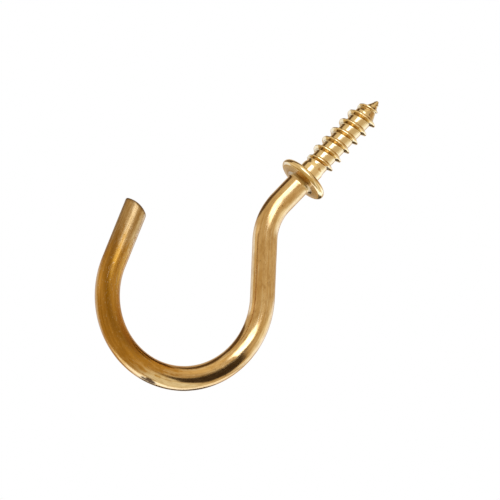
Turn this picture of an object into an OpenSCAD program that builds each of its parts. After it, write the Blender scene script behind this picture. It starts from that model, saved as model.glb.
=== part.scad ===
// Cup hook bent from one length of brass wire: an open round bow, an offset bend,
// an upset collar that seats against the shelf, and a coarse wood-screw thread.
// The screw axis is Z and points up into the shelf, the bow hangs in the XZ plane,
// and the origin is the centre of the collar's seat. All lengths are in millimetres.

/* [Wire and bow] */
// Diameter of the drawn wire
wire_d = 3.3; // [2:0.1:4]
// Inside diameter of the round bow
bow_inner_d = 18.7; // [14:0.1:26]
// How far the bow's centre lies off the screw axis, towards the tip
bow_shift = 0.6; // [0:0.1:3]
// Straight stretch of wire between the bow and the cut end
tip_len = 8.3; // [4:0.1:12]
// Outward lean of the tip from upright, in degrees
tip_lean = 23; // [0:1:40]
// Slant of the sheared end, longer on the outside, in degrees
tip_slant = 18; // [0:1:25]
// Radius of the dome that finishes the sheared end
tip_dome_r = 3.2; // [2.6:0.1:6]
// How much slimmer the wire is drawn where it is bent
bend_slim = 0.02; // [0.01:0.01:0.1]

/* [Neck] */
// Straight neck between the collar and the offset bend
neck_len = 3.8; // [2:0.1:8]
// Centreline radius of the offset bend
offset_r = 7.3; // [4:0.1:12]
// Turn of the offset bend, in degrees
offset_angle = 44; // [30:1:60]

/* [Collar] */
// Diameter of the collar
collar_d = 7; // [5.2:0.1:9]
// Thickness of the collar at the neck
collar_t = 1.15; // [0.8:0.05:2]
// Thickness of the collar's full-round rim
rim_t = 1; // [0.4:0.05:1.1]
// Fillet between the neck and the collar
neck_fillet = 0.6; // [0.1:0.05:0.8]

/* [Screw] */
// Length of the screw from the seat to its point
screw_len = 14.5; // [10:0.5:25]
// Diameter of the plain shank next to the seat
shank_d = 3.05; // [2.6:0.05:3.5]
// Length of the plain shank
shank_len = 1.5; // [1:0.1:5]
// Outside diameter of the thread
thread_d = 4; // [3.1:0.1:4.5]
// Diameter of the core under the thread
core_d = 2.8; // [1.8:0.05:3]
// Distance from one turn of the thread to the next
pitch = 1.7; // [1.2:0.05:2.5]
// Width of the thread's crest
crest_w = 0.18; // [0.05:0.01:0.3]
// Width of the thread's root where it leaves the core
root_w = 1.3; // [0.4:0.05:1.5]
// Length of the gimlet point's taper
point_len = 2.7; // [2:0.1:6]
// Diameter of the blunted end of the point
point_d = 0.3; // [0.1:0.05:0.6]

/* [Hidden] */
$fn = 64;
wire_r = wire_d / 2;
brass = "#b5894a";

// The bow's centreline, and the straight leg that runs from the offset bend into it
bow_r = (bow_inner_d + wire_d) / 2;
bow_arc = 180 + offset_angle - tip_lean;
leg_reach = bow_r * cos(offset_angle) - offset_r * (1 - cos(offset_angle)) - bow_shift;
leg_len = leg_reach / sin(offset_angle);
// How far each end of a bend reaches into the straight wire next to it
bend_lap = 0.1;

// The thread's ridge starts inside the shank and dies out over a share of the point,
// whose last share is bare
steps_per_turn = 28;
bare_share = 0.06;
fade_share = 0.8;
shoulder_len = (shank_d - core_d) / 2;
taper_z = screw_len - point_len;
ridge_start = shank_len;
ridge_end = screw_len - point_len * bare_share;
ridge_fade = point_len * fade_share;
ridge_steps = ceil(steps_per_turn * (ridge_end - ridge_start) / pitch);
ridge_full = (thread_d - core_d) / 2;
rise_turns = 0.75;
// Shares of the core's radius: where the ridge is rooted, and how deep its two ends are sunk
root_share = 0.6;
sink_share = 0.12;

// Radius of the core at height z, tapering to the blunted point
function core_r(z) =
    let (t = max(0, z - taper_z) / point_len)
    core_d / 2 * (1 - t) + point_d / 2 * t;

// Share of the ridge's full height: it rises out of the shank and dies out in the point
function ridge_share(z) =
    let (rise = (z - ridge_start) / (rise_turns * pitch))
    let (fall = (ridge_end - z) / ridge_fade)
    min(1, rise, fall);

// One section of the ridge, in four corners: root, crest, crest, root
function ridge_section(step) =
    let (turn = 360 * step / steps_per_turn)
    let (z = ridge_start + (ridge_end - ridge_start) * step / ridge_steps)
    let (share = ridge_share(z))
    let (inner = root_share * core_r(z))
    let (outer = core_r(z) * (1 - sink_share * (1 - share)) + ridge_full * share)
    let (half_root = root_w / 2 * (outer - inner) / (core_r(z) + ridge_full - inner))
    let (half_crest = crest_w / 2)
    [
        for (corner = [
            [inner, -max(half_root, half_crest)],
            [outer, -half_crest],
            [outer, half_crest],
            [inner, max(half_root, half_crest)],
        ])
        [corner[0] * cos(turn), corner[0] * sin(turn), z + corner[1]]
    ];

// A straight length of wire, running down from the local origin
module straight(len) {
    translate([0, 0, -len])
        cylinder(d = wire_d, h = len);
}

// A bend that starts at the local origin, running down, and curls towards side (1 or -1) in X
module bend(r, angle, side) {
    lap = atan(bend_lap / r);
    first = side > 0 ? 180 : -angle;
    translate([side * r, 0, 0])
        rotate([90, 0, 0])
            rotate_extrude(angle = angle + 2 * lap, start = first - lap)
                translate([r, 0])
                    circle(d = wire_d - bend_slim);
}

// Carries what follows to the far end of such a bend
module past_bend(r, angle, side) {
    translate([side * r, 0, 0])
        rotate([0, -side * angle, 0])
            translate([-side * r, 0, 0])
                children();
}

// The straight tip, running down from the local origin to its sheared end: a dome whose centre
// is set off to the outside, so the end slants
module tip() {
    dome_rise = tip_dome_r * (1 - cos(tip_slant));
    dome_z = -tip_len + tip_dome_r * cos(tip_slant);
    difference() {
        straight(tip_len + dome_rise);
        difference() {
            translate([0, 0, dome_z - 2 * tip_dome_r])
                cylinder(d = 2 * wire_d, h = 2 * tip_dome_r);
            translate([tip_dome_r * sin(tip_slant), 0, dome_z])
                sphere(r = tip_dome_r);
        }
    }
}

// The bent wire below the collar
module bent_wire() {
    straight(neck_len);
    translate([0, 0, -neck_len]) {
        bend(offset_r, offset_angle, 1);
        past_bend(offset_r, offset_angle, 1) {
            straight(leg_len);
            translate([0, 0, -leg_len]) {
                bend(bow_r, bow_arc, -1);
                past_bend(bow_r, bow_arc, -1)
                    tip();
            }
        }
    }
}

// Half section of the collar: a flat seat, a full-round rim, a sloping underside and a fillet
module collar_section() {
    rim_centre = (collar_d - rim_t) / 2;
    fillet_edge = wire_r + neck_fillet;
    polygon([
        [0, 0],
        [rim_centre, 0],
        [rim_centre, -rim_t],
        [fillet_edge, -collar_t],
        [0, -collar_t],
    ]);
    translate([rim_centre, -rim_t / 2])
        circle(d = rim_t);
    difference() {
        translate([0, -collar_t - neck_fillet])
            square([fillet_edge, neck_fillet]);
        translate([fillet_edge, -collar_t - neck_fillet])
            circle(r = neck_fillet);
    }
}

// Half section of the shank, the core under the thread and the blunted point
module core_section() {
    polygon([
        [0, 0],
        [shank_d / 2, 0],
        [shank_d / 2, shank_len],
        [core_d / 2, shank_len + shoulder_len],
        [core_d / 2, taper_z],
        [point_d / 2, screw_len],
        [0, screw_len],
    ]);
}

// The helical ridge of the thread, right-handed
module ridge() {
    sections = [for (step = [0:ridge_steps]) ridge_section(step)];
    points = [for (section = sections) each section];
    corners = len(sections[0]);
    last = len(points) - corners;
    sides = [
        for (step = [0:ridge_steps - 1], k = [0:corners - 1])
        let (a = step * corners + k)
        let (b = step * corners + (k + 1) % corners)
        each [[a, b, b + corners], [a, b + corners, a + corners]]
    ];
    first_cap = [for (k = [corners - 1:-1:0]) k];
    last_cap = [for (k = [0:corners - 1]) last + k];
    polyhedron(points = points, faces = [each sides, first_cap, last_cap]);
}

// The whole hook: wire, collar and screw in one piece
module cup_hook() {
    color(brass) {
        rotate_extrude()
            collar_section();
        translate([0, 0, -collar_t])
            bent_wire();
        rotate_extrude()
            core_section();
        ridge();
    }
}

cup_hook();
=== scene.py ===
"""Looks of a brass cup hook: one length of drawn wire, bent to a bow, collared and threaded.

The hook is one closed surface: a profile of radii carried along the wire's centreline, from the cut
end of the tip, round the bow and up the neck, over the collar to the point of the screw. Lengths are
in millimetres in the classes and in metres in the meshes. The frame is the part's own: the origin is
the centre of the collar's seat, +Z runs up the screw, and the bow hangs in the XZ plane with its open
tip on the -X side.
"""

from __future__ import annotations

import logging
from dataclasses import dataclass, field
from enum import Enum

import bpy
import numpy as np
from mathutils import Matrix, Vector

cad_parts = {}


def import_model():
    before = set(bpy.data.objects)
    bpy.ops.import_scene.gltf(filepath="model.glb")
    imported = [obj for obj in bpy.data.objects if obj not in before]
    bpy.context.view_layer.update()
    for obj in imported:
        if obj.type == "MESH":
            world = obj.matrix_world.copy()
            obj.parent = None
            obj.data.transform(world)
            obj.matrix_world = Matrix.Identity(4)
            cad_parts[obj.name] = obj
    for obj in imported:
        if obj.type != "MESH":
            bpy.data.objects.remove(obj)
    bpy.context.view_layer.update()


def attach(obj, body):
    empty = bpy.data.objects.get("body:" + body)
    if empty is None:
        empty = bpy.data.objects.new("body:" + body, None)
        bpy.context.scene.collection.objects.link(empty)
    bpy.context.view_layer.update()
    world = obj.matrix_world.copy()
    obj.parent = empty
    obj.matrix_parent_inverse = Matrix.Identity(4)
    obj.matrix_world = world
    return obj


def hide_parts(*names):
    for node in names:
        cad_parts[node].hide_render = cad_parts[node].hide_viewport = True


LOG = logging.getLogger("cup_hook")
MM = 0.001
FULL_TURN = 2 * np.pi
QUARTER_TURN = np.pi / 2
WHITE = "#ffffff"
CARD_COVER = "cover"
Array = np.ndarray
Profile = tuple[Array, Array]
Span = tuple[float, float]
Point = tuple[float, float, float]
SocketValue = bpy.types.NodeSocket | float | tuple[float, ...]
# A point between the bow and the screw, which the camera and the studio are set round.
HOOK_MIDDLE: Point = (-1.0, 0.0, -14.0)


def linear(hex_colour: str) -> tuple[float, float, float, float]:
    """Turn an sRGB hex colour into a linear RGBA tuple, by the sRGB standard's own curve.

    Args:
        hex_colour: Colour as "#rrggbb".

    Returns:
        Linear red, green and blue with an alpha of 1.
    """
    coded = np.array([int(hex_colour[i : i + 2], 16) for i in (1, 3, 5)]) / 255
    decoded = np.where(coded <= 0.04045, coded / 12.92, ((coded + 0.055) / 1.055) ** 2.4)
    return (*decoded.tolist(), 1.0)


def ease(span: Span, values: Array) -> Array:
    """Rise smoothly from 0 at the span's start to 1 at its end, by the cubic 3t^2 - 2t^3.

    Args:
        span: Values where the rise starts and ends.
        values: Values to map.

    Returns:
        Shares between 0 and 1.
    """
    low, high = span
    t = np.clip((values - low) / (high - low), 0, 1)
    return t * t * (3 - 2 * t)


def bell(distance: Array, width: float) -> Array:
    """Fall from 1 at no distance, as e to the minus squared distance over width."""
    return np.exp(-((distance / width) ** 2))


def wrap(angle: Array) -> Array:
    """Bring angles into the half turn on either side of zero."""
    return np.angle(np.exp(1j * angle))


def smooth_max(first: Array, second: Array, blend: float) -> Array:
    """Take the larger of two values, rounded off where they meet.

    Half the sum plus half the root of the squared difference and the squared blend.

    Args:
        first: First values.
        second: Second values.
        blend: Size of the rounding, in the values' unit.

    Returns:
        The rounded maximum.
    """
    return 0.5 * (first + second + np.sqrt((first - second) ** 2 + blend**2))


def add_node(
    tree: bpy.types.NodeTree,
    kind: str,
    inputs: dict[str | int, SocketValue] | None = None,
    output: str | int = 0,
    **settings: object,
) -> bpy.types.NodeSocket | None:
    """Add one node with its settings, and set or link its sockets.

    Args:
        tree: Node tree to add to.
        kind: Blender's name of the node type, without its ShaderNode prefix.
        inputs: Values or output sockets by the name or number of the input.
        output: Name or number of the output to return.
        settings: Properties of the node.

    Returns:
        That output socket, or nothing for a node without outputs.
    """
    node = tree.nodes.new("ShaderNode" + kind)
    for name, value in settings.items():
        setattr(node, name, value)
    for key, value in (inputs or {}).items():
        if isinstance(value, bpy.types.NodeSocket):
            tree.links.new(value, node.inputs[key])
        else:
            node.inputs[key].default_value = value
    return node.outputs[output] if node.outputs else None


def empty_tree(owner: bpy.types.Material | bpy.types.World) -> bpy.types.NodeTree:
    """Switch a material or a world to nodes, and empty its node tree.

    Args:
        owner: The material or the world.

    Returns:
        The empty node tree.
    """
    owner.use_nodes = True
    owner.node_tree.nodes.clear()
    return owner.node_tree


def link_object(name: str, data: bpy.types.Mesh | bpy.types.Camera) -> bpy.types.Object:
    """Put a mesh or a camera into the scene as an object at the origin.

    Args:
        name: Name of the object.
        data: Its mesh or camera.

    Returns:
        The object.
    """
    obj = bpy.data.objects.new(name, data)
    bpy.context.scene.collection.objects.link(obj)
    return obj


def ring_mesh(name: str, grid: Array, poles: Array) -> bpy.types.Mesh:
    """Make a mesh from rings of points, closed round each ring and fanned to a pole at its ends.

    Args:
        name: Name of the mesh.
        grid: Points of shape (rings, points round a ring, 3).
        poles: The pole before the first ring and, if there is one, the pole after the last.

    Returns:
        The mesh, smooth, with the poles as its last vertices.
    """
    rings, sides, _ = grid.shape
    index = np.arange(rings * sides).reshape(rings, sides)
    after = np.roll(index, -1, axis=1)
    quads = np.stack([index[:-1], after[:-1], after[1:], index[1:]], -1).reshape(-1, 4).tolist()
    fans = np.stack([np.full(sides, rings * sides), after[0], index[0]], -1).tolist()
    if len(poles) > 1:
        fans += np.stack([np.full(sides, rings * sides + 1), index[-1], after[-1]], -1).tolist()
    mesh = bpy.data.meshes.new(name)
    mesh.from_pydata(np.concatenate([grid.reshape(-1, 3), poles]).tolist(), [], quads + fans)
    mesh.polygons.foreach_set("use_smooth", np.ones(len(mesh.polygons), dtype=bool))
    mesh.update()
    return mesh


def mark_points(mesh: bpy.types.Mesh, name: str, values: Array) -> None:
    """Store a number or a vector for each vertex of a mesh as a named attribute.

    Args:
        mesh: The mesh.
        name: Name of the attribute.
        values: Numbers of shape (n,) or vectors of shape (n, 3).
    """
    kind, key = ("FLOAT", "value") if values.ndim == 1 else ("FLOAT_VECTOR", "vector")
    layer = mesh.attributes.new(name, kind, "POINT")
    layer.data.foreach_set(key, values.astype(np.float32).ravel())


class WearAndLightMark(Enum):
    """Attributes of the mesh: the place on the wire, where it is worn or soiled, and painted light."""

    PLACE = "wire_place"
    # Amber tone: partly pooled lacquer, partly a painted warm reflection.
    TONE = "amber_lacquer_and_reflection"
    RUN = "lacquer_run"
    THICK = "thick_lacquer"
    # Burnish on the collar and the screw, partly a painted sheen.
    POLISH_AND_SHEEN = "polish_and_sheen"
    # Painted shade in the thread and the collar's corners, with the cut end's darkening and the tip's
    # dull tint.
    SOIL_AND_SHADE = "soil_and_shade"
    SCUFF = "scuff"


class Turn(Enum):
    """Which way a stretch of wire turns as it runs from the collar to the tip."""

    STRAIGHT = 0
    AWAY_FROM_TIP = 1
    TOWARDS_TIP = -1


@dataclass(frozen=True)
class Stretch:
    """One stretch of the centreline: its length, the way it turns and its bend radius."""

    length: float
    turn: Turn = Turn.STRAIGHT
    radius: float = 1.0

    def travel(self, distance: Array, heading: float) -> tuple[Array, Array]:
        """Give how far points move along the stretch from its start, and their headings.

        On a straight stretch the move is distance times heading. On a bend it goes round a circle:
        the heading turns by distance over radius, and the move is the radius times the change of
        the heading's sine, and of its cosine taken negative.

        Args:
            distance: Distances from the start of the stretch.
            heading: Heading at the start, in radians from +X towards +Z.

        Returns:
            Moves in X and Z of shape (n, 2), and headings.
        """
        curl = self.turn.value / self.radius
        turned = heading + curl * distance
        if self.turn is Turn.STRAIGHT:
            return distance[:, None] * np.array([np.cos(heading), np.sin(heading)]), turned
        move = np.stack([np.sin(turned) - np.sin(heading), np.cos(heading) - np.cos(turned)], 1)
        return move / curl, turned


@dataclass(frozen=True)
class Grain:
    """A noise pattern on the wire, of which one part of the noise's range shows.

    Attributes:
        across_mm: Size of the grain across the wire.
        along_mm: Size of the grain along the wire.
        slant: Turn of the grain away from the wire, in radians.
        detail: Octaves of finer noise in it.
        low: Noise below which nothing shows.
        high: Noise above which the pattern shows fully.
    """

    across_mm: float
    along_mm: float
    slant: float
    detail: float
    low: float
    high: float


@dataclass(frozen=True)
class LacqueredBrass:
    """Drawn brass wire under a thin clear lacquer.

    Drawing leaves fine lines along the wire, the alloy is not quite even in colour and handling
    adds short scratches, so the eye sees a warm mirror with soft lengthwise streaks.
    """

    name: str = "lacquered_drawn_brass"
    brass: str = "#e6c688"
    red_brass: str = "#c7994e"
    pale_brass: str = "#f3e0b0"
    dull_brass: str = "#a57a3c"
    # Pale burnish on the collar and the screw, partly real and partly a painted sheen that lightens
    # them.
    burnished_and_sheen: str = "#f4da9c"
    # Amber: partly the lacquer's tone, partly a painted warm reflection on the tip side of the bow.
    amber: str = "#ca8d18"
    olive: str = "#8c5c0a"
    # Dark brown: dull flecks and the tip's dull tint, and painted shade in the thread's roots and the
    # collar's corners.
    soil_and_shade: str = "#64481c"
    scuff: str = "#4f340a"
    # Draw lines are about 0.05 mm apart on the real wire, and scratches and pits in the lacquer are
    # about as fine. That is too fine to show, so these are drawn coarser.
    lines: Grain = Grain(0.3, 12.0, 0.0, 3.0, 0.34, 0.66)
    streaks: Grain = Grain(0.22, 5.0, 0.05, 2.0, 0.56, 0.72)
    scratches: Grain = Grain(0.14, 2.2, 0.7, 2.0, 0.66, 0.74)
    pits: Grain = Grain(0.2, 0.32, 0.4, 1.0, 0.62, 0.76)
    clouds: Grain = Grain(1.5, 5.0, 0.0, 3.0, 0.38, 0.62)
    mottle: Grain = Grain(0.35, 1.0, 0.2, 2.0, 0.46, 0.70)
    flecks: Grain = Grain(0.45, 0.45, 0.0, 1.0, 0.74, 0.80)
    finer_share: float = 0.6
    # How far the mottle moves the edge of the amber, partly pooled lacquer and partly painted
    # reflection, and the tone at which it starts.
    amber_ragged: float = 0.6
    amber_edge: float = 0.5
    rough_low: float = 0.11
    rough_high: float = 0.20
    bump_mm: float = 0.012
    bump_strength: float = 0.35

    def material(self) -> bpy.types.Material:
        """Build the node material.

        Returns:
            The material, with its patterns on the mesh's own wire_place attribute in millimetres.
        """
        material = bpy.data.materials.new(self.name)
        tree = empty_tree(material)
        marks = {
            mark: add_node(
                tree,
                "Attribute",
                output="Vector" if mark is WearAndLightMark.PLACE else "Fac",
                attribute_name=mark.value,
            )
            for mark in WearAndLightMark
        }
        shown = {}
        fine_grains = (self.lines, self.streaks, self.scratches, self.pits)
        for grain in (*fine_grains, self.clouds, self.mottle, self.flecks):
            scaled = add_node(
                tree,
                "Mapping",
                {
                    "Vector": marks[WearAndLightMark.PLACE],
                    "Rotation": (grain.slant, grain.slant, 0.0),
                    "Scale": (1 / grain.across_mm, 1 / grain.across_mm, 1 / grain.along_mm),
                },
            )
            noise = add_node(
                tree,
                "TexNoise",
                {"Vector": scaled, "Scale": 1.0, "Detail": grain.detail, "Roughness": self.finer_share},
            )
            shown[grain] = add_node(
                tree, "MapRange", {"Value": noise, "From Min": grain.low, "From Max": grain.high}
            )

        # The amber, partly pooled lacquer and partly a painted warm reflection, ends in a ragged edge.
        ragged = add_node(
            tree,
            "Math",
            {0: shown[self.mottle], 1: self.amber_ragged, 2: marks[WearAndLightMark.TONE]},
            operation="MULTIPLY_ADD",
        )
        amber_zone = add_node(tree, "MapRange", {"Value": ragged, "From Min": self.amber_edge, "From Max": 1.0})

        # Where the lacquer lies thick it is pitted, and it has settled in the draw lines.
        pitting, settled = (
            add_node(tree, "Math", {0: shown[grain], 1: marks[WearAndLightMark.THICK]}, operation="MULTIPLY")
            for grain in (self.pits, self.lines)
        )

        # From the brass up: where a colour lies, the most of it that shows, and the colour. The
        # alloy is redder in clouds and in the draw lines. The amber on the tip side of the bow is partly
        # pooled lacquer and partly a painted warm reflection, and the lacquer is pale in its pits. The
        # pale burnish on the thread and the collar's rim is partly from rolling and partly a painted
        # sheen. The dark brown is painted shade in the thread's roots and the collar's corners, darkens
        # the cut end, and is the tip's dull tint, strong enough there to dim its highlight as painted
        # shade. Lifted flecks of lacquer are dull.
        colour = linear(self.brass)
        for share, most, layer in (
            (shown[self.clouds], 0.6, self.red_brass),
            (shown[self.lines], 0.5, self.red_brass),
            (shown[self.streaks], 0.5, self.pale_brass),
            # Amber on the tip side of the bow: partly pooled lacquer, partly a painted warm reflection.
            (amber_zone, 0.78, self.amber),
            (marks[WearAndLightMark.RUN], 0.8, self.olive),
            (settled, 0.5, self.olive),
            (shown[self.mottle], 0.4, self.dull_brass),
            (pitting, 0.3, self.pale_brass),
            (shown[self.scratches], 0.35, self.pale_brass),
            # Painted sheen, partly real burnish: pales the collar and the screw.
            (marks[WearAndLightMark.POLISH_AND_SHEEN], 0.75, self.burnished_and_sheen),
            # Painted shade in the thread's roots and the collar's corners, a darker cut end, and a dull
            # tint on the tip that also dims its highlight.
            (marks[WearAndLightMark.SOIL_AND_SHADE], 0.75, self.soil_and_shade),
            (shown[self.flecks], 0.6, self.soil_and_shade),
            (marks[WearAndLightMark.SCUFF], 1.0, self.scuff),
        ):
            cover = add_node(tree, "Math", {0: share, 1: most}, operation="MULTIPLY")
            colour = add_node(
                tree, "Mix", {0: cover, 6: colour, 7: linear(layer)}, output=2, data_type="RGBA"
            )

        # Lines, scratches, thick lacquer, the dark layer of painted shade and dull tint, and scuffs each
        # dull the mirror by their own amount, and the pale burnish clears it.
        rough = self.rough_low
        for share, gain in (
            (shown[self.lines], self.rough_high - self.rough_low),
            (shown[self.scratches], 0.16),
            (marks[WearAndLightMark.THICK], 0.09),
            (marks[WearAndLightMark.POLISH_AND_SHEEN], -0.04),
            (marks[WearAndLightMark.SOIL_AND_SHADE], 0.12),
            (marks[WearAndLightMark.SCUFF], 0.16),
        ):
            rough = add_node(tree, "Math", {0: share, 1: gain, 2: rough}, operation="MULTIPLY_ADD")

        # Scratches and pits are cut into the relief of the draw lines.
        relief = shown[self.lines]
        for share, gain in ((shown[self.scratches], -0.6), (pitting, -0.3)):
            relief = add_node(tree, "Math", {0: share, 1: gain, 2: relief}, operation="MULTIPLY_ADD")
        normal = add_node(
            tree,
            "Bump",
            {"Height": relief, "Strength": self.bump_strength, "Distance": self.bump_mm * MM},
        )
        shader = add_node(
            tree,
            "BsdfPrincipled",
            {"Base Color": colour, "Metallic": 1.0, "Roughness": rough, "Normal": normal},
        )
        add_node(tree, "OutputMaterial", {"Surface": shader})
        return material


@dataclass
class BentWire:
    """The drawn wire below the collar: straight neck, offset bend, leg, round bow and tip."""

    wire_d: float = 3.3
    bow_inner_d: float = 18.7
    bow_shift: float = 0.6
    tip_len: float = 8.3
    tip_lean: float = 23.0
    tip_slant: float = 18.0
    tip_dome_r: float = 3.2
    tip_edge: float = 0.14
    tip_blend: float = 4.0
    bend_slim: float = 0.02
    bend_ramp: float = 1.0
    neck_len: float = 3.8
    offset_r: float = 7.3
    offset_angle: float = 44.0
    # Spacing of the mesh's rings, radius of the first one on the cut end, and numbers of rings.
    ring_step: float = 0.16
    pole_r: float = 0.06
    face_rings: int = 16
    edge_rings: int = 7

    @property
    def wire_r(self) -> float:
        """Radius of the wire."""
        return self.wire_d / 2

    @property
    def bow_r(self) -> float:
        """Radius of the bow's centreline."""
        return (self.bow_inner_d + self.wire_d) / 2

    def stretches(self, collar_t: float) -> list[Stretch]:
        """List the stretches of the centreline from the seat down to the cut end.

        Args:
            collar_t: Thickness of the collar, which the neck starts below.

        Returns:
            Neck, offset bend, leg, bow and tip.
        """
        angle = np.radians(self.offset_angle)
        reach = self.bow_r * np.cos(angle) - self.offset_r * (1 - np.cos(angle)) - self.bow_shift
        bow_arc = np.radians(180 + self.offset_angle - self.tip_lean)
        return [
            Stretch(collar_t + self.neck_len),
            Stretch(self.offset_r * angle, Turn.AWAY_FROM_TIP, self.offset_r),
            Stretch(reach / np.sin(angle)),
            Stretch(self.bow_r * bow_arc, Turn.TOWARDS_TIP, self.bow_r),
            Stretch(self.tip_len),
        ]

    def centreline(self, height: Array, stretches: list[Stretch]) -> tuple[Array, Array]:
        """Find points of the centreline and the in-plane normals there.

        A point is the start of its stretch plus the stretch's own move. Above the seat the line
        runs straight up the screw. The normal is the heading turned by a quarter.

        Args:
            height: Distances along the centreline from the seat, negative towards the tip.
            stretches: Stretches from the seat to the cut end.

        Returns:
            Points and unit normals, both of shape (n, 3).
        """
        run = -height
        points = np.zeros((len(run), 3))
        heading = np.zeros(len(run))
        start, passed, at, angle = -np.inf, 0.0, np.zeros(2), -QUARTER_TURN
        for stretch in stretches:
            inside = run >= start
            move, heading[inside] = stretch.travel(run[inside] - passed, angle)
            points[inside, ::2] = at + move
            whole, ends = stretch.travel(np.array([stretch.length]), angle)
            passed += stretch.length
            start, at, angle = passed, at + whole[0], ends[0]
        normals = np.stack([-np.sin(heading), np.zeros(len(run)), np.cos(heading)], 1)
        return points, normals

    def slimming(self, height: Array, stretches: list[Stretch]) -> Array:
        """Give how much the wire's radius is drawn down in its bends, eased at both ends.

        Args:
            height: Distances along the centreline from the seat, negative towards the tip.
            stretches: Stretches from the seat to the cut end.

        Returns:
            Loss of radius in millimetres.
        """
        loss = np.zeros(len(height))
        start = 0.0
        for stretch in stretches:
            end = start + stretch.length
            if stretch.turn is not Turn.STRAIGHT:
                into = ease((start, start + self.bend_ramp), -height)
                out = ease((end - self.bend_ramp, end), -height)
                loss += self.bend_slim / 2 * into * (1 - out)
            start = end
        return loss

    def tip_profile(self, cut_height: float) -> Profile:
        """Give the sheared end's profile: out from the axis, then round a small edge to the wire.

        Args:
            cut_height: Height of the end along the centreline.

        Returns:
            Heights and radii.
        """
        flat = np.linspace(self.pole_r, self.wire_r - self.tip_edge, self.face_rings)
        turn = np.linspace(0, QUARTER_TURN, self.edge_rings + 1)[1:]
        heights = np.concatenate([np.zeros(len(flat)), self.tip_edge * (1 - np.cos(turn))])
        radii = np.concatenate([flat, self.wire_r - self.tip_edge * (1 - np.sin(turn))])
        return cut_height + heights, radii

    def tip_rise(self, from_cut: Array, radius: Array, angle: Array) -> Array:
        """Give how far the slanted dome of the sheared end lifts each point along the wire.

        The dome is a sphere whose centre is set off to the outside by the slant. The lift is the
        root of its squared radius less the squared distance to that centre, less the centre's
        depth, and it is spread over the first few millimetres of the wire's side.

        Args:
            from_cut: Distances from the end along the centreline, as a column.
            radius: Radii of the points.
            angle: Angles round the wire, from the outside, as a row.

        Returns:
            Lifts in millimetres, positive out of the end.
        """
        slant = np.radians(self.tip_slant)
        out = radius * np.cos(angle) - self.tip_dome_r * np.sin(slant)
        over = radius * np.sin(angle)
        inside = np.maximum(self.tip_dome_r**2 - out**2 - over**2, 0)
        lift = np.sqrt(inside) - self.tip_dome_r * np.cos(slant)
        return lift * (1 - ease((self.tip_edge, self.tip_edge + self.tip_blend), from_cut))


@dataclass
class Collar:
    """The upset collar that stops the screw at the shelf."""

    collar_d: float = 7.0
    collar_t: float = 1.15
    rim_t: float = 1.0
    neck_fillet: float = 0.6
    edge: float = 0.02
    fillet_rings: int = 12
    slope_rings: int = 8
    rim_rings: int = 25
    seat_rings: int = 11

    def profile(self, wire_r: float, shank_r: float) -> Profile:
        """Give the collar's profile from the neck's fillet to the corner under the shank.

        A quarter-circle fillet leaves the neck, a straight slope runs out to the rim, the rim is a
        half circle, and the seat is flat up to the shank.

        Args:
            wire_r: Radius of the neck.
            shank_r: Radius of the shank.

        Returns:
            Heights and radii.
        """
        edge_r = wire_r + self.neck_fillet
        rim_r = (self.collar_d - self.rim_t) / 2
        turn = np.linspace(0, QUARTER_TURN, self.fillet_rings)
        fillet_h = -self.collar_t - self.neck_fillet * (1 - np.sin(turn))
        fillet_r = edge_r - self.neck_fillet * np.cos(turn)
        slope = np.linspace(0, 1, self.slope_rings + 2)[1:-1]
        slope_h = -self.collar_t + (self.collar_t - self.rim_t) * slope
        slope_r = edge_r + (rim_r - edge_r) * slope
        sweep = np.linspace(-QUARTER_TURN, QUARTER_TURN, self.rim_rings)
        rim_h = self.rim_t / 2 * (np.sin(sweep) - 1)
        round_r = rim_r + self.rim_t / 2 * np.cos(sweep)
        inwards = np.linspace(rim_r, shank_r + self.edge, self.seat_rings + 1)[1:]
        seat_r = np.append(inwards, shank_r)
        seat_h = np.zeros(len(seat_r))
        return (
            np.concatenate([fillet_h, slope_h, rim_h, seat_h]),
            np.concatenate([fillet_r, slope_r, round_r, seat_r]),
        )


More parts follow.
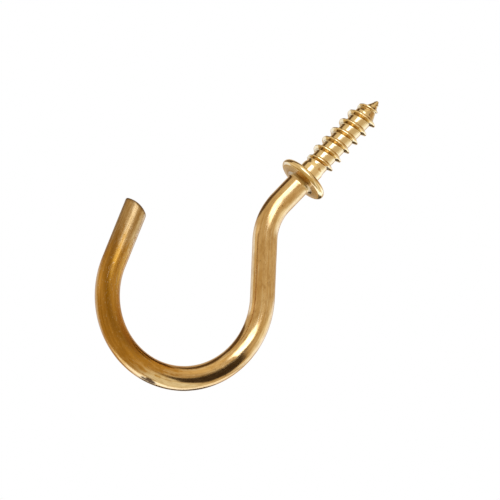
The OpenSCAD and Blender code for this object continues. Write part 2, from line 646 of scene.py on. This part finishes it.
@dataclass
class WoodScrew:
    """The plain shank, the helical thread and the gimlet point above the seat."""

    screw_len: float = 14.5
    shank_d: float = 3.05
    shank_len: float = 1.5
    thread_d: float = 4.0
    core_d: float = 2.8
    pitch: float = 1.7
    crest_w: float = 0.18
    root_w: float = 1.3
    point_len: float = 2.7
    point_d: float = 0.3
    bare_share: float = 0.06
    fade_share: float = 0.8
    steps_per_turn: int = 28
    rise_turns: float = 0.75
    root_share: float = 0.6
    sink_share: float = 0.12
    root_fillet: float = 0.05
    crest_round: float = 0.05
    # Wear of the crest: its depth, and the waves in a turn, which have no common measure.
    crest_wear: float = 0.06
    wear_waves: Span = (5.3, 8.1)
    wear_phase: float = 1.3
    ridge_lap: float = 0.1
    # The ends of the shoulder, from the end of the shank, and the rounded end of the point.
    shoulder: Span = (-0.15, 0.45)
    blunt_len: float = 0.1
    # Heights of the mesh's first two rings, how far below the shank's end its close rings start,
    # their spacing, and numbers of rings.
    foot: Span = (0.02, 0.1)
    shoulder_lead: float = 0.2
    ring_step: float = 0.036
    shank_rings: int = 16
    blunt_rings: int = 6

    @property
    def taper_z(self) -> float:
        """Height where the point's taper starts."""
        return self.screw_len - self.point_len

    @property
    def ridge_end(self) -> float:
        """Height where the ridge has died out in the point."""
        return self.screw_len - self.point_len * self.bare_share

    @property
    def ridge_full(self) -> float:
        """Full height of the ridge above the core."""
        return (self.thread_d - self.core_d) / 2

    def core_r(self, height: Array) -> Array:
        """Radius of the core, which tapers in a straight line to the blunted point."""
        taper = np.clip((height - self.taper_z) / self.point_len, 0, 1)
        return self.core_d / 2 * (1 - taper) + self.point_d / 2 * taper

    def profile(self) -> Profile:
        """Give the plain profile of shank, shoulder, core and blunted point, without the ridge.

        The shank narrows to the core in a smooth shoulder, and a quarter of an ellipse rounds off
        the point.

        Returns:
            Heights and radii.
        """
        first, second = self.foot
        start = self.shank_len - self.shoulder_lead
        end = self.screw_len - self.blunt_len
        shank_h = np.append(first, np.linspace(second, start, self.shank_rings))
        shank_r = np.full(len(shank_h), self.shank_d / 2)
        thread_h = np.linspace(start, end, int((end - start) / self.ring_step))[1:]
        drop = ease(self.shoulder, thread_h - self.shank_len)
        thread_r = self.core_r(thread_h) + (self.shank_d - self.core_d) / 2 * (1 - drop)
        turn = np.linspace(0, QUARTER_TURN, self.blunt_rings + 2)[1:-1]
        return (
            np.concatenate([shank_h, thread_h, end + self.blunt_len * np.sin(turn)]),
            np.concatenate([shank_r, thread_r, thread_r[-1] * np.cos(turn)]),
        )

    def share(self, height: Array) -> Array:
        """Give the share of the ridge's full height, the lesser of two straight slopes.

        One rises out of the shank and the other dies out in the point.

        Args:
            height: Heights above the seat.

        Returns:
            Shares from 0 to 1.
        """
        rise = (height - self.shank_len) / (self.rise_turns * self.pitch)
        fall = (self.ridge_end - height) / (self.point_len * self.fade_share)
        return np.clip(np.minimum(rise, fall), 0, 1)

    def ridge_r(self, height: Array, angle: Array) -> Array:
        """Give the radius of the right-handed helical ridge.

        The crest climbs one lead a turn, so the axial distance to the nearest crest is the height
        less lead times angle, wrapped to half a lead either way. The radius falls from the crest in
        two straight flanks, and the crest itself is worn in uneven waves along the helix.

        Args:
            height: Heights above the seat, broadcast against angle.
            angle: Angles about the screw's axis.

        Returns:
            Radii of the ridge, which lie inside the core away from it.
        """
        length = self.ridge_end - self.shank_len
        lead = length / np.ceil(self.steps_per_turn * length / self.pitch) * self.steps_per_turn
        behind = height - self.shank_len - lead * angle / FULL_TURN
        offset = (behind + lead / 2) % lead - lead / 2
        crest_h = height - offset
        share = self.share(crest_h)
        core = self.core_r(crest_h)
        outer = core * (1 - self.sink_share * (1 - share)) + self.ridge_full * share
        run = FULL_TURN * crest_h / lead
        slow, quick = self.wear_waves
        waves = np.sin(slow * run) * np.cos(quick * run + self.wear_phase)
        outer -= self.crest_wear * share * (0.5 + 0.5 * waves)
        flank_h = self.core_d / 2 + self.ridge_full - self.root_share * self.core_d / 2
        slope = flank_h / ((self.root_w - self.crest_w) / 2)
        # The rounding takes up half of the crest's width, so its flat is the other half.
        away = np.hypot(offset, self.crest_round) - self.crest_round
        flank = outer - slope * np.maximum(away - self.crest_w / 4, 0)
        return np.maximum(flank, self.root_share * core)

    def surface(self, height: Array, angle: Array, plain_r: Array) -> Array:
        """Give the radius with the ridge: the larger of the two, rounded where they meet.

        Args:
            height: Heights along the centreline, as a column.
            angle: Angles about the screw's axis, as a row.
            plain_r: Radii of the plain profile, as a column.

        Returns:
            Radii of shape (rings, sides), which stay plain below the thread.
        """
        ridged = smooth_max(plain_r, self.ridge_r(height, angle), self.root_fillet)
        return np.where(height > self.shank_len - self.ridge_lap, ridged, plain_r)


@dataclass(frozen=True)
class Dents:
    """Small handling dents, scattered over the wire from a fixed seed."""

    count: int = 26
    seed: int = 11
    size: Span = (0.25, 0.6)
    depth: Span = (0.004, 0.014)
    clear_of_tip: float = 2.0
    clear_of_seat: float = 3.0

    def depths(self, height: Array, angle: Array, wire_r: float) -> Array:
        """Give the depth of the dents.

        Each dent is its depth times two bells, one along the wire and one round it.

        Args:
            height: Heights along the centreline, as a column.
            angle: Angles round the wire, as a row.
            wire_r: Radius of the wire.

        Returns:
            Depths in millimetres, of shape (rings, sides).
        """
        rng = np.random.default_rng(self.seed)
        at = rng.uniform(height[0, 0] + self.clear_of_tip, -self.clear_of_seat, self.count)
        turn = rng.uniform(0, FULL_TURN, self.count)
        size = rng.uniform(*self.size, self.count)
        depth = rng.uniform(*self.depth, self.count)
        depths = np.zeros((height.shape[0], angle.shape[1]))
        for k in range(self.count):
            across = bell(wire_r * wrap(angle - turn[k]), size[k])
            depths += depth[k] * bell(height - at[k], size[k]) * across
        return depths


@dataclass(frozen=True)
class Nick:
    """The one ragged nick on the outside of the bow, near its lowest point.

    Lengths are in millimetres, and the angle round the wire is in degrees from the outside.
    """

    from_tip: float = 25.1
    angle: float = -30.0
    length: float = 1.2
    width: float = 0.5
    depth: float = 0.07

    def share(self, from_tip: Array, angle: Array, wire_r: float) -> Array:
        """Give the share of the nick's depth: bells along and round the wire, with uneven waves.

        Args:
            from_tip: Distances from the cut end, as a column.
            angle: Angles round the wire, as a row.
            wire_r: Radius of the wire.

        Returns:
            Shares from 0 to 1, of shape (rings, sides).
        """
        along = from_tip - self.from_tip
        across = wire_r * wrap(angle - np.radians(self.angle))
        # The waves, in radians a millimetre, have no common measure, so no mark comes twice.
        coarse = np.sin(3.1 * along + 4 * across + 0.6) * np.cos(9 * across - 1.7 * along)
        fine = np.sin(9.7 * along - 3 * across + 2 * np.sin(2.3 * along))
        ragged = 0.74 + 0.2 * coarse + 0.06 * fine
        return ragged * bell(along, self.length) * bell(across, self.width)


@dataclass(frozen=True)
class WearAndLight:
    """Where the lacquer lies thick, where the brass is polished, soiled or scuffed, and where
    shade, sheen and a warm reflection are painted on.

    Places on the bow and the tip are millimetres from the cut end, and those on the collar and the
    screw are heights above the seat. A pair gives where a mark starts to rise or to fade and where
    it has done so. The scuff's pair is in shares of the nick, and what is said of the core and the
    foot is in shares of the ridge's height. The run's angle and its twist per millimetre are in
    degrees, and its width is in radians. Amounts of dark tint and painted shade are shares of the full
    mark.
    """

    # Where the amber lies: partly pooled lacquer, partly a painted warm reflection.
    amber_rise: Span = (1.5, 8.5)
    amber_fade: Span = (21.0, 31.0)
    amber_slant: float = 4.5
    run_rise: Span = (1.0, 6.0)
    run_fade: Span = (18.0, 25.0)
    run_start: float = 7.0
    run_angle: float = -45.0
    run_twist: float = -4.2
    run_width: float = 0.32
    thick_fade: Span = (14.0, 28.0)
    # Burnish on the collar and the screw, partly a painted sheen.
    polish_and_sheen_rise: Span = (-2.0, -0.5)
    scuff_rise: Span = (0.28, 0.5)
    thread_rise: float = 1.0
    # Painted shade on the thread's core and at the ridge's foot.
    core_shade: float = 0.15
    core_fade: Span = (0.02, 0.3)
    foot_shade: float = 0.7
    foot_share: float = 0.24
    foot_width: float = 0.12
    # Painted shade in the corner under the collar and on the seat by the shank.
    corner_shade: float = 0.7
    neck_below: float = 0.1
    neck_width: float = 0.25
    seat_width: float = 0.12
    seat_reach: float = 0.3
    # Darker at the cut end.
    cut_end_dark: float = 0.85
    cut_width: float = 0.32
    # The tip's dull tint, strong enough to dim its highlight as painted shade.
    tip_tint_and_shade: float = 0.26
    tip_fade: Span = (2.0, 9.0)

    def lacquer(self, from_tip: Array, angle: Array) -> dict[WearAndLightMark, Array]:
        """Give the amber, pooled lacquer and painted reflection, the lacquer's dark run and its
        thickness.

        The tone rises and fades along the wire, and fades later on the inside of the bow. The run
        is a bell across the wire whose middle winds round it at an even rate.

        Args:
            from_tip: Distances from the cut end, as a column.
            angle: Angles round the wire from the outside, as a row.

        Returns:
            Shares from 0 to 1 by their mark.
        """
        amber_end = from_tip + self.amber_slant * np.cos(angle)
        tone = ease(self.amber_rise, from_tip) * (1 - ease(self.amber_fade, amber_end))
        run_at = np.radians(self.run_angle + self.run_twist * (from_tip - self.run_start))
        run = ease(self.run_rise, from_tip) * (1 - ease(self.run_fade, from_tip))
        run = run * bell(wrap(angle - run_at), self.run_width)
        thick = 1 - ease(self.thick_fade, from_tip)
        return {WearAndLightMark.TONE: tone, WearAndLightMark.RUN: run, WearAndLightMark.THICK: thick}

    def soil_and_shade(self, height: Array, surface: Array, collar: Collar, screw: WoodScrew) -> Array:
        """Give the painted shade on the core, at the ridge's foot and in both corners of the collar,
        the darker cut end and the tip's dull tint.

        The foot's painted shade is a bell about a share of the ridge's height, and the others are
        bells or eased falls along the wire.

        Args:
            height: Heights along the centreline, as a column.
            surface: Radii of the vertices, of shape (rings, sides).
            collar: Collar whose corners get painted shade.
            screw: Screw whose core and the ridge's foot get painted shade.

        Returns:
            Shares from 0 to 1, of the surface's shape.
        """
        from_tip = height - height[0]
        in_thread = ease((screw.shank_len, screw.shank_len + self.thread_rise), height)
        crest = (surface - screw.core_r(height)) / screw.ridge_full
        # Painted shade on the thread's core and at the ridge's foot.
        core = self.core_shade * (1 - ease(self.core_fade, crest))
        foot = self.foot_shade * bell(crest - self.foot_share, self.foot_width)
        # Painted shade in the corner under the collar and on the seat by the shank.
        under_collar = bell(height + collar.collar_t + self.neck_below, self.neck_width)
        by_shank = surface.mean(1, keepdims=True) < screw.shank_d / 2 + self.seat_reach
        on_seat = bell(height, self.seat_width) * by_shank
        corners = self.corner_shade * (under_collar + on_seat)
        # Darker at the cut end, and the tip's dull tint, which also dims its highlight as painted shade.
        cut = self.cut_end_dark * bell(from_tip, self.cut_width)
        tip = self.tip_tint_and_shade * (1 - ease(self.tip_fade, from_tip))
        return np.clip(in_thread * (core + foot) + corners + np.maximum(cut, tip), 0, 1)


@dataclass
class CupHook:
    """The whole hook in one piece: wire, collar and screw, with worn marks and painted light."""

    wire: BentWire = field(default_factory=BentWire)
    collar: Collar = field(default_factory=Collar)
    screw: WoodScrew = field(default_factory=WoodScrew)
    dents: Dents = field(default_factory=Dents)
    nick: Nick = field(default_factory=Nick)
    wear_and_light: WearAndLight = field(default_factory=WearAndLight)
    finish: LacqueredBrass = field(default_factory=LacqueredBrass)
    name: str = "cup_hook_brass"
    sides: int = 96
    dented_below: float = -2.0

    def profile(self, stretches: list[Stretch]) -> Profile:
        """Join the profiles of tip, wire, collar and screw.

        Args:
            stretches: Stretches from the seat to the cut end.

        Returns:
            Heights along the centreline and radii, from the cut end to the point.
        """
        cut = -sum(stretch.length for stretch in stretches)
        tip_h, tip_r = self.wire.tip_profile(cut)
        collar_h, collar_r = self.collar.profile(self.wire.wire_r, self.screw.shank_d / 2)
        screw_h, screw_r = self.screw.profile()
        count = int((collar_h[0] - tip_h[-1]) / self.wire.ring_step)
        wire_h = np.linspace(tip_h[-1], collar_h[0], count)[1:-1]
        wire_r = self.wire.wire_r - self.wire.slimming(wire_h, stretches)
        return (
            np.concatenate([tip_h, wire_h, collar_h, screw_h]),
            np.concatenate([tip_r, wire_r, collar_r, screw_r]),
        )

    def build(self) -> bpy.types.Object:
        """Carry the profile along the centreline and make the closed mesh.

        A vertex is the centreline's point plus its radius times the normal's cosine and the
        binormal's sine of the angle. The radius is the profile's, or the ridge's where that stands
        above it, less the dents. Both ends close in a pole.

        Returns:
            The hook's object, at the origin.
        """
        stretches = self.wire.stretches(self.collar.collar_t)
        height, radius = self.profile(stretches)
        points, normals = self.wire.centreline(height, stretches)
        h = height[:, None]
        a = np.linspace(0, FULL_TURN, self.sides, endpoint=False)[None, :]
        nick = self.nick.share(h - h[0], a, self.wire.wire_r)
        dents = self.dents.depths(h, a, self.wire.wire_r) + self.nick.depth * nick
        surface = self.screw.surface(h, a, radius[:, None])
        surface = surface - np.where(h < self.dented_below, dents, 0)
        rise = self.wire.tip_rise(h - h[0], surface, a)
        out_of_end = np.array([normals[0, 2], 0.0, -normals[0, 0]])
        binormal = np.array([0.0, 1.0, 0.0])
        around = np.cos(a)[..., None] * normals[:, None, :] + np.sin(a)[..., None] * binormal
        grid = points[:, None, :] + surface[..., None] * around + rise[..., None] * out_of_end
        poles = np.stack([points[0], points[-1] + (0, 0, self.screw.screw_len - height[-1])])
        mesh = ring_mesh(self.name, grid * MM, poles * MM)
        self.mark_wear_and_light(mesh, h, a, surface, nick)
        return link_object(self.name, mesh)

    def mark_wear_and_light(
        self, mesh: bpy.types.Mesh, height: Array, angle: Array, surface: Array, nick: Array
    ) -> None:
        """Store the attributes that the finish reads, with a value for each pole at the end.

        Args:
            mesh: The hook's mesh.
            height: Heights along the centreline, as a column.
            angle: Angles round the wire, as a row.
            surface: Radii of the vertices, of shape (rings, sides).
            nick: Shares of the nick, of the same shape.
        """
        marks = {
            **self.wear_and_light.lacquer(height - height[0], angle),
            # Burnish on the collar and the screw, partly a painted sheen.
            WearAndLightMark.POLISH_AND_SHEEN: ease(self.wear_and_light.polish_and_sheen_rise, height),
            # Painted shade in the thread and the collar's corners, a darker cut end, and the tip's dull
            # tint.
            WearAndLightMark.SOIL_AND_SHADE: self.wear_and_light.soil_and_shade(height, surface, self.collar, self.screw),
            WearAndLightMark.SCUFF: ease(self.wear_and_light.scuff_rise, nick),
        }
        for mark, values in marks.items():
            spread = np.broadcast_to(values, surface.shape)
            ends = [spread[0].mean(), spread[-1].mean()]
            mark_points(mesh, mark.value, np.concatenate([spread.ravel(), ends]))
        along = np.broadcast_to(height, surface.shape)
        place = np.stack([surface * np.cos(angle), surface * np.sin(angle), along], -1)
        ends = np.array([[0, 0, height[0, 0]], [0, 0, height[-1, 0]]])
        mark_points(mesh, WearAndLightMark.PLACE.value, np.concatenate([place.reshape(-1, 3), ends]))

    def dress(self, piece: bpy.types.Object) -> None:
        """Give the piece its finish and tell the frame what it is.

        Args:
            piece: The hook's object.
        """
        piece.data.materials.append(self.finish.material())
        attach(piece, "root")
        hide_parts("cup_hook")


@dataclass(frozen=True)
class View:
    """The camera: its axes, and its distance and scale at the hook's middle."""

    target: Point = HOOK_MIDDLE
    forward: Point = (0.285, 0.920, 0.270)
    axis_tilt: float = 46.0
    distance: float = 600.0
    pixels_per_mm: float = 7.595
    image_px: float = 500.0
    target_px: Span = (230.1, 244.4)
    sensor: float = 36.0
    clip: Span = (10.0, 10000.0)

    def axes(self) -> tuple[Array, Array, Array]:
        """Give the picture's right, up and backward directions.

        The screw's axis is seen tilted from the picture's right by axis_tilt, which fixes the roll.

        Returns:
            Three unit vectors.
        """
        ahead = np.array(self.forward) / np.linalg.norm(self.forward)
        screw = np.array([0.0, 0.0, 1.0])
        seen = screw - screw @ ahead * ahead
        seen /= np.linalg.norm(seen)
        side = np.cross(-ahead, seen)
        tilt = np.radians(self.axis_tilt)
        right = np.cos(tilt) * seen - np.sin(tilt) * side
        up = np.sin(tilt) * seen + np.cos(tilt) * side
        return right, up, -ahead

    def centre(self) -> Array:
        """Give the point in the target's plane that the picture's centre shows.

        Returns:
            The point in millimetres.
        """
        right, up, _ = self.axes()
        shift_x = (self.image_px / 2 - self.target_px[0]) / self.pixels_per_mm
        shift_y = (self.target_px[1] - self.image_px / 2) / self.pixels_per_mm
        return np.array(self.target) + shift_x * right + shift_y * up

    def build(self) -> None:
        """Make the camera and set it as the scene's."""
        right, up, back = self.axes()
        data = bpy.data.cameras.new("photo_view")
        data.sensor_width = self.sensor
        data.lens = self.sensor * self.distance * self.pixels_per_mm / self.image_px
        data.clip_start, data.clip_end = (limit * MM for limit in self.clip)
        camera = link_object("photo_view", data)
        turn = Matrix(np.stack([right, up, back], 1).tolist()).to_4x4()
        place = Vector(((self.centre() + self.distance * back) * MM).tolist())
        camera.matrix_world = Matrix.Translation(place) @ turn
        bpy.context.scene.camera = camera


@dataclass(frozen=True)
class StudioCard:
    """A soft-edged card that the brass mirrors: bright for a softbox, dark for a flag.

    Its outline is given as seen from the hook, on a map with the camera in the middle: degrees to
    the picture's right and degrees up, so that a point's distance from the middle is its angle
    away from the camera. The brass mirrors that point where it is turned by half the angle, so a
    card past 90 degrees shows near the wire's outline. Of two cards, the nearer covers the other.
    """

    name: str
    outline: tuple[Span, ...]
    glow: float
    tint: str
    distance: float
    feather: float = 0.25
    centre: Point = HOOK_MIDDLE
    edge_parts: int = 6
    rings: int = 12
    least_angle: float = 0.01
    lights_above: float = 0.5

    def build(self, view: View) -> None:
        """Make the card, unseen by the camera, as rings from its middle to its outline on a sphere.

        A point of the map lies in the direction that mixes the camera's by the cosine of its angle
        and the picture's own direction by the sine.

        Args:
            view: Camera whose picture directions place the card.
        """
        right, up, back = view.axes()
        corners = np.array(self.outline)
        share = (np.arange(self.edge_parts) / self.edge_parts)[:, None]
        edge = corners[:, None] * (1 - share) + np.roll(corners, -1, axis=0)[:, None] * share
        middle = corners.mean(axis=0)
        reach = np.linspace(0, 1, self.rings + 1)[1:]
        spread = middle + reach[:, None, None] * (edge.reshape(-1, 2) - middle)
        spread = np.concatenate([spread.reshape(-1, 2), middle[None]])
        angle = np.maximum(np.linalg.norm(spread, axis=1, keepdims=True), self.least_angle)
        sideways = (spread[:, :1] * right + spread[:, 1:] * up) / angle
        towards = np.cos(np.radians(angle)) * back + np.sin(np.radians(angle)) * sideways
        points = (np.array(self.centre) + self.distance * towards) * MM
        grid = points[:-1].reshape(self.rings, -1, 3)
        mesh = ring_mesh(self.name, grid, points[-1:])
        cover = np.repeat(1 - ease((1 - self.feather, 1), reach), grid.shape[1])
        mark_points(mesh, CARD_COVER, np.append(cover, 1.0))
        mesh.materials.append(self.material())
        card = link_object(self.name, mesh)
        card.visible_camera = False
        card.visible_shadow = False
        # A dark card is for the mirror alone and doesn't shade the floor.
        card.visible_diffuse = self.glow > self.lights_above

    def material(self) -> bpy.types.Material:
        """Build the card's glow, which fades out towards its edge.

        Returns:
            The material.
        """
        material = bpy.data.materials.new(self.name)
        tree = empty_tree(material)
        cover = add_node(tree, "Attribute", output="Fac", attribute_name=CARD_COVER)
        glow = add_node(tree, "Emission", {"Color": linear(self.tint), "Strength": self.glow})
        clear = add_node(tree, "BsdfTransparent")
        mixed = add_node(tree, "MixShader", {0: cover, 1: clear, 2: glow})
        add_node(tree, "OutputMaterial", {"Surface": mixed})
        return material


# The highlight on the lower right of the bow, and the dark patch beside it. The flag stands close
# to the bow, so that only this part of the wire mirrors it.
KEY_CARDS = (
    StudioCard(
        "key_softbox",
        (
            (35, 2), (28, 10), (24, 20), (17, 33), (11, 48),
            (-6, 58), (-22, 52), (-19, 30), (0, 13), (16, 5),
        ),
        glow=5.6, tint="#c8d6ff", distance=1400, feather=0.38,
    ),
    StudioCard(
        "near_flag",
        (
            (14, -6), (24, -39), (47, -58), (74, -46), (82, -17),
            (63, 1), (43, 22), (33, 28), (36, 9), (28, 0),
        ),
        glow=0.06, tint="#ffd9c0", distance=18, feather=0.1, centre=(9.4, 0.0, -27.6),
    ),
)
# The mid tones of the wire's front.
FILL_CARDS = (
    StudioCard(
        "right_fill",
        ((57, -6), (96, -3), (122, -6), (116, -64), (78, -78), (64, -64), (80, -46)),
        glow=1.45, tint="#e4ebff", distance=1430, feather=0.5,
    ),
    StudioCard(
        "low_fill",
        ((43, -8), (39, -40), (51, -68), (66, -84), (30, -104), (-7, -96), (-4, -68), (14, -48)),
        glow=1.08, tint="#f2f5ff", distance=1440, feather=0.15,
    ),
    StudioCard(
        "top_fill",
        ((42, 28), (64, 40), (54, 90), (0, 96), (-48, 80), (-32, 62), (6, 52)),
        glow=1.0, tint="#fff4e6", distance=1445, feather=0.5,
    ),
    StudioCard(
        "amber_board",
        ((40, -4), (-30, 0), (-108, 0), (-108, -42), (-84, -76), (-30, -88), (-4, -74), (16, -48)),
        glow=0.6, tint="#ffe6b4", distance=1460, feather=0.3,
    ),
    StudioCard(
        "right_board",
        ((58, 2), (128, 2), (120, 45), (88, 42), (66, 24)),
        glow=0.52, tint="#ffd4a4", distance=1470,
    ),
    StudioCard(
        "left_fill",
        ((-40, 0), (-62, 24), (-84, 36), (-110, 34), (-110, 0)),
        glow=1.0, tint="#fff4ee", distance=1475, feather=0.5,
    ),
)
# Dark lines just inside the outline.
BACK_CARDS = (
    StudioCard(
        "back_flag_right",
        ((76, 34), (100, 34), (124, 48), (108, 98), (62, 126), (48, 102), (82, 80)),
        glow=0.08, tint="#ffd0a0", distance=1480, feather=0.15,
    ),
    StudioCard(
        "back_flag_left",
        (
            (-160, 54), (-112, 51), (-76, 60), (-40, 94), (50, 100),
            (62, 126), (0, 132), (-52, 128), (-110, 98),
        ),
        glow=0.14, tint="#ffd0a0", distance=1490, feather=0.15,
    ),
    StudioCard(
        "back_flag_low",
        ((-60, -116), (0, -127), (60, -116), (84, -140), (0, -166), (-84, -140)),
        glow=0.12, tint="#ffdca0", distance=1492, feather=0.15,
    ),
    StudioCard(
        "collar_board",
        ((-78, -88), (-56, -120), (-96, -142), (-138, -110), (-120, -78)),
        glow=0.6, tint="#ffd898", distance=1491, feather=0.3,
    ),
)
# Pale rims along the outline.
SWEEP_CARDS = (
    StudioCard(
        "low_sweep",
        (
            (-110, -60), (-78, -72), (-30, -86), (30, -98),
            (66, -80), (110, -84), (60, -140), (-60, -136),
        ),
        glow=2.7, tint="#cbd8ff", distance=1500,
    ),
    StudioCard(
        "left_sweep",
        ((-104, 42), (-104, -2), (-106, -60), (-140, -70), (-150, 0), (-140, 46)),
        glow=1.8, tint="#cbd8ff", distance=1510,
    ),
    StudioCard(
        "right_sweep",
        ((92, -14), (150, -10), (134, -74), (100, -88), (80, -70)),
        glow=2.3, tint="#c8d6ff", distance=1425,
    ),
)


@dataclass
class Studio:
    """A white studio: pale floor, even room light and the cards round the hook."""

    view: View
    floor_z: float = -320.0
    floor_side: float = 6000.0
    floor_colour: str = "#ecf0fa"
    floor_roughness: float = 0.85
    floor_glow: float = 0.4
    room_glow: float = 0.74
    room_tint: str = "#ffeedb"
    cards: tuple[StudioCard, ...] = KEY_CARDS + FILL_CARDS + BACK_CARDS + SWEEP_CARDS

    def build(self) -> None:
        """Make the floor, the room light and the cards."""
        self.build_floor()
        self.build_room()
        for card in self.cards:
            card.build(self.view)
            LOG.info("studio card %s", card.name)

    def build_floor(self) -> None:
        """Make the flat pale floor below the hook, which the brass doesn't mirror."""
        corners = self.floor_side / 2 * np.array([(-1, -1), (1, -1), (1, 1), (-1, 1)])
        points = np.column_stack([corners, np.full(len(corners), self.floor_z)]) * MM
        mesh = bpy.data.meshes.new("floor")
        mesh.from_pydata(points.tolist(), [], [(0, 1, 2, 3)])
        # Matt painted board: it scatters light evenly, so the eye sees white with no reflection.
        material = bpy.data.materials.new("matt_white_board")
        tree = empty_tree(material)
        shader = add_node(
            tree,
            "BsdfPrincipled",
            {
                "Base Color": linear(self.floor_colour),
                "Roughness": self.floor_roughness,
                "Emission Color": linear(WHITE),
                "Emission Strength": self.floor_glow,
            },
        )
        add_node(tree, "OutputMaterial", {"Surface": shader})
        mesh.materials.append(material)
        floor = link_object("floor", mesh)
        floor.visible_glossy = False

    def build_room(self) -> None:
        """Light the room evenly, and show plain white behind the hook."""
        world = bpy.data.worlds.new("white_studio")
        tree = empty_tree(world)
        seen = add_node(tree, "LightPath", output="Is Camera Ray")
        room = add_node(
            tree, "Background", {"Color": linear(self.room_tint), "Strength": self.room_glow}
        )
        backdrop = add_node(tree, "Background", {"Color": linear(WHITE), "Strength": 1.0})
        mixed = add_node(tree, "MixShader", {0: seen, 1: room, 2: backdrop})
        add_node(tree, "OutputWorld", {"Surface": mixed})
        bpy.context.scene.world = world
        bpy.context.scene.view_settings.view_transform = "Standard"


def main() -> None:
    """Load the frame, build and dress the hook, then set the camera and the studio."""
    logging.basicConfig(level=logging.INFO, format="%(name)s: %(message)s")
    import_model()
    hook = CupHook()
    piece = hook.build()
    hook.dress(piece)
    LOG.info("piece %s: %d faces", piece.name, len(piece.data.polygons))
    view = View()
    view.build()
    LOG.info("camera %.0f mm from the hook", view.distance)
    Studio(view).build()


if __name__ == "__main__":
    main()
